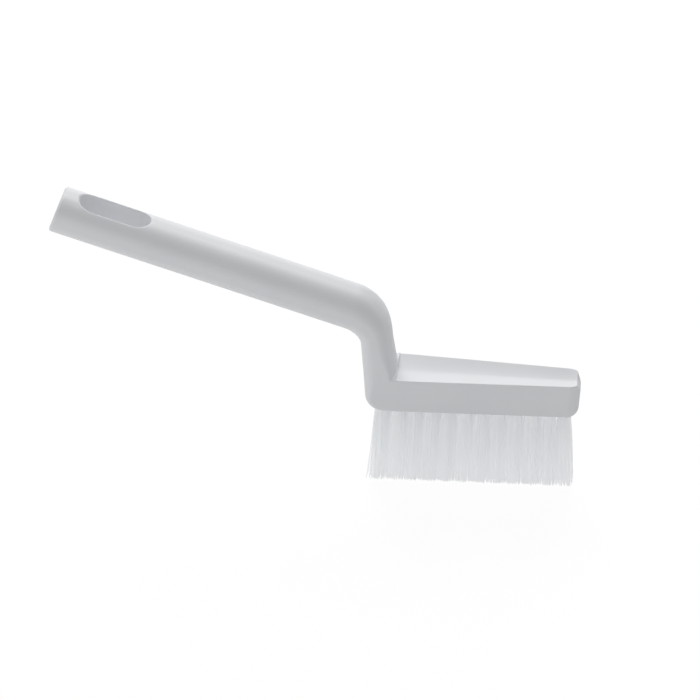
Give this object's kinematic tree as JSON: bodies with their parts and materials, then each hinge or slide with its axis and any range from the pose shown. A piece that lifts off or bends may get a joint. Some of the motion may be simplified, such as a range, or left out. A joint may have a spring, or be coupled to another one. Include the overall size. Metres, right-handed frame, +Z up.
{
  "type": "corner cleaning brush",
  "caption": "White one-piece plastic hand brush with a cranked neck, a narrow tapered head with a dished back, a slotted handle and staple-set white bristle tufts.",
  "frame": {"origin": "on the surface that the bristle tips stand on, under the middle of the brush's box", "axes": "+Z up, +X along the brush from the handle's end to the head's tip, +Y to the far side of the head as pictured"},
  "size_m": [0.1902, 0.0188, 0.1108],
  "materials": {
    "white_plastic": "satin white moulded polypropylene",
    "white_bristle": "translucent white nylon filament",
    "anchor_steel": "plain drawn flat wire"
  },
  "bodies": {
    "root": {"brush_body": "white_plastic", "tuft_front_01": "white_bristle", "tuft_front_02": "white_bristle", "tuft_front_03": "white_bristle", "tuft_front_04": "white_bristle", "tuft_front_05": "white_bristle", "tuft_front_06": "white_bristle", "tuft_front_07": "white_bristle", "tuft_front_08": "white_bristle", "tuft_front_09": "white_bristle", "tuft_front_10": "white_bristle", "tuft_front_11": "white_bristle", "tuft_rear_01": "white_bristle", "tuft_rear_02": "white_bristle", "tuft_rear_03": "white_bristle", "tuft_rear_04": "white_bristle", "tuft_rear_05": "white_bristle", "tuft_rear_06": "white_bristle", "tuft_rear_07": "white_bristle", "tuft_rear_08": "white_bristle", "tuft_rear_09": "white_bristle", "tuft_rear_10": "white_bristle", "tuft_rear_11": "white_bristle", "tuft_middle_01": "white_bristle", "tuft_middle_02": "white_bristle", "tuft_middle_03": "white_bristle", "tuft_middle_04": "white_bristle", "tuft_tip": "white_bristle", "anchor_front_01": "anchor_steel", "anchor_front_02": "anchor_steel", "anchor_front_03": "anchor_steel", "anchor_front_04": "anchor_steel", "anchor_front_05": "anchor_steel", "anchor_front_06": "anchor_steel", "anchor_front_07": "anchor_steel", "anchor_front_08": "anchor_steel", "anchor_front_09": "anchor_steel", "anchor_front_10": "anchor_steel", "anchor_front_11": "anchor_steel", "anchor_rear_01": "anchor_steel", "anchor_rear_02": "anchor_steel", "anchor_rear_03": "anchor_steel", "anchor_rear_04": "anchor_steel", "anchor_rear_05": "anchor_steel", "anchor_rear_06": "anchor_steel", "anchor_rear_07": "anchor_steel", "anchor_rear_08": "anchor_steel", "anchor_rear_09": "anchor_steel", "anchor_rear_10": "anchor_steel", "anchor_rear_11": "anchor_steel", "anchor_middle_01": "anchor_steel", "anchor_middle_02": "anchor_steel", "anchor_middle_03": "anchor_steel", "anchor_middle_04": "anchor_steel", "anchor_tip": "anchor_steel"}
  },
  "joints": []
}
